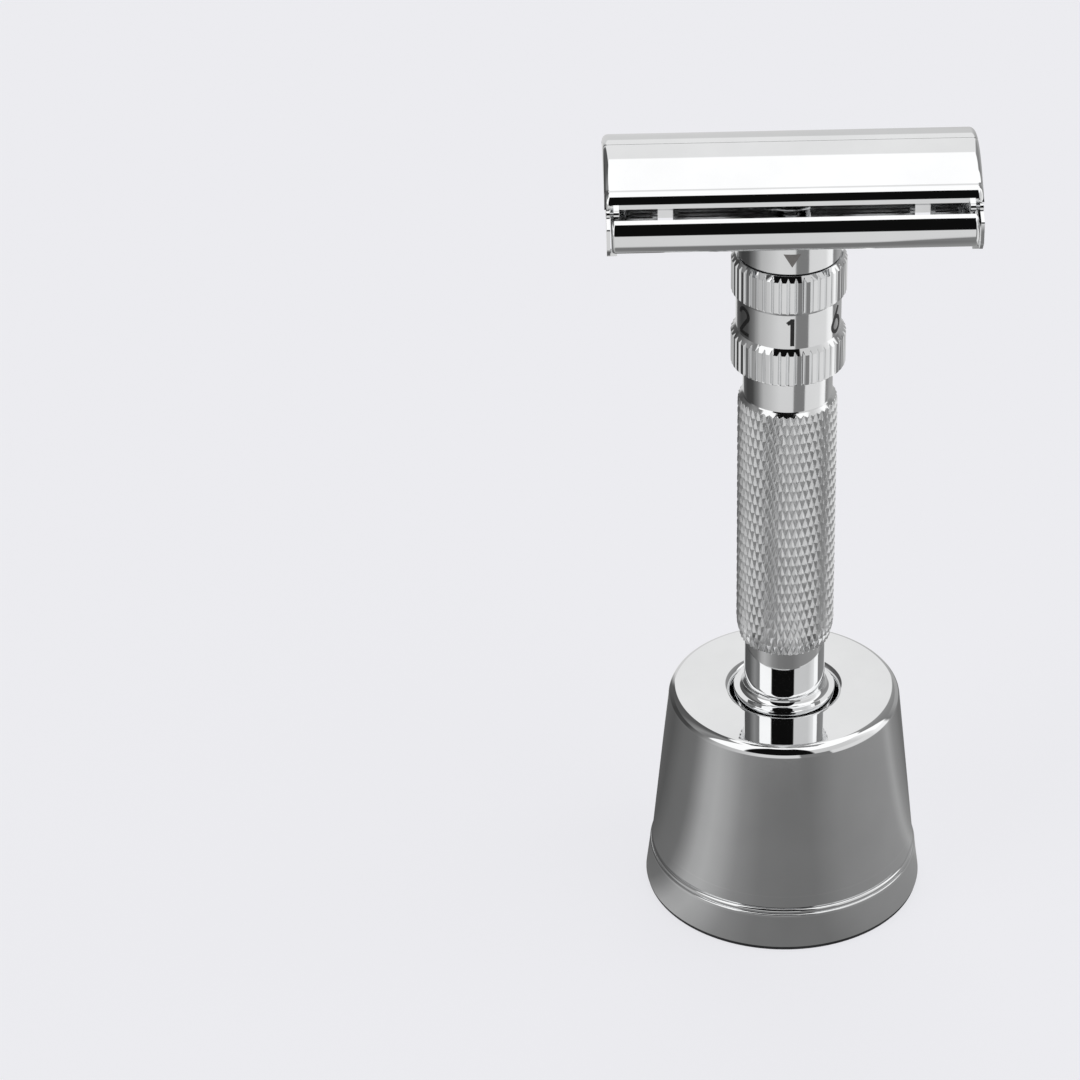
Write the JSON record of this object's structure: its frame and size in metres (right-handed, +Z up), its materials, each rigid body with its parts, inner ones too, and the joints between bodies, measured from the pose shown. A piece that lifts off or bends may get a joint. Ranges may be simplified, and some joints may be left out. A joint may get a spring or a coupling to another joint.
{
  "type": "razor stand with adjustable safety razor",
  "caption": "Weighted conical stand with a socket holding an adjustable twist-to-open double-edge safety razor with a knurled handle.",
  "frame": {"origin": "on the table under the middle of the stand", "axes": "+Z up along the handle, +X along the razor head, -Y is the front with the pointer"},
  "size_m": [0.0446, 0.0356, 0.1066],
  "materials": {
    "polished_chrome": "mirror polish",
    "satin_chrome": "fine satin on the stand's wall and foot",
    "knurled_chrome": "chrome over diamond knurling",
    "steel": "turned steel",
    "brass": "machined brass",
    "iron": "raw casting",
    "rubber": "matt black rubber",
    "numeral_paint": "black paint fill",
    "pointer_paint": "grey paint fill"
  },
  "bodies": {
    "stand": {"stand_shell": "satin_chrome", "stand_weight": "iron", "stand_base_plate": "steel", "base_bolt": "steel", "base_pad": "rubber", "socket_liner": "rubber", "socket_cushion": "rubber"},
    "razor": {"handle_barrel": "knurled_chrome", "rod_bush": "brass", "knob_washer": "steel", "neck_tube": "polished_chrome", "neck_pointer": "pointer_paint", "dial_washer": "steel", "blade_bed": "polished_chrome", "bed_screws": "steel", "end_plate_left": "polished_chrome", "end_plate_right": "polished_chrome", "end_rivets": "steel", "door_pins": "steel"},
    "dial": {"dial_sleeve": "polished_chrome", "dial_numerals": "numeral_paint"},
    "guard": {"guard_plate": "polished_chrome", "guard_lift_ring": "brass", "guard_screws": "steel"},
    "knob": {"twist_knob": "polished_chrome", "drive_rod": "steel", "knob_pin": "steel"},
    "lifter": {"lifter_sleeve": "brass", "lifter_bar": "steel", "lifter_yoke_left": "steel", "lifter_yoke_right": "steel"},
    "rear_door": {"door_rear": "polished_chrome"},
    "front_door": {"door_front": "polished_chrome"}
  },
  "joints": [
    {"name": "razor_lift", "type": "slide", "parent": "stand", "child": "razor", "axis": [0, 0, 1], "range_m": [0, 0.03]},
    {"name": "knob_twist", "type": "hinge", "parent": "razor", "child": "knob", "pos_m": [0, 0, 0.025], "axis": [0, 0, -1], "range_deg": [0, 450]},
    {"name": "lifter_rise", "type": "slide", "parent": "razor", "child": "lifter", "axis": [0, 0, 1], "range_m": [0, 0.0015]},
    {"name": "front_door_open", "type": "hinge", "parent": "razor", "child": "front_door", "pos_m": [0, -0.0096, 0.1023], "axis": [1, 0, 0], "range_deg": [0, 80]},
    {"name": "rear_door_open", "type": "hinge", "parent": "razor", "child": "rear_door", "pos_m": [0, 0.0096, 0.1023], "axis": [-1, 0, 0], "range_deg": [0, 80]},
    {"name": "dial_turn", "type": "hinge", "parent": "razor", "child": "dial", "pos_m": [0, 0, 0.085], "axis": [0, 0, 1], "range_deg": [0, 300]},
    {"name": "guard_drop", "type": "slide", "parent": "razor", "child": "guard", "axis": [0, 0, -1], "range_m": [0, 0.0006]}
  ],
  "couplings": [
    {"joint": "lifter_rise", "follows": "knob_twist", "m_per_rad": 0.00019098},
    {"joint": "front_door_open", "follows": "knob_twist", "ratio": 0.17777},
    {"joint": "rear_door_open", "follows": "knob_twist", "ratio": 0.17777},
    {"joint": "guard_drop", "follows": "dial_turn", "m_per_rad": 0.00011459}
  ]
}
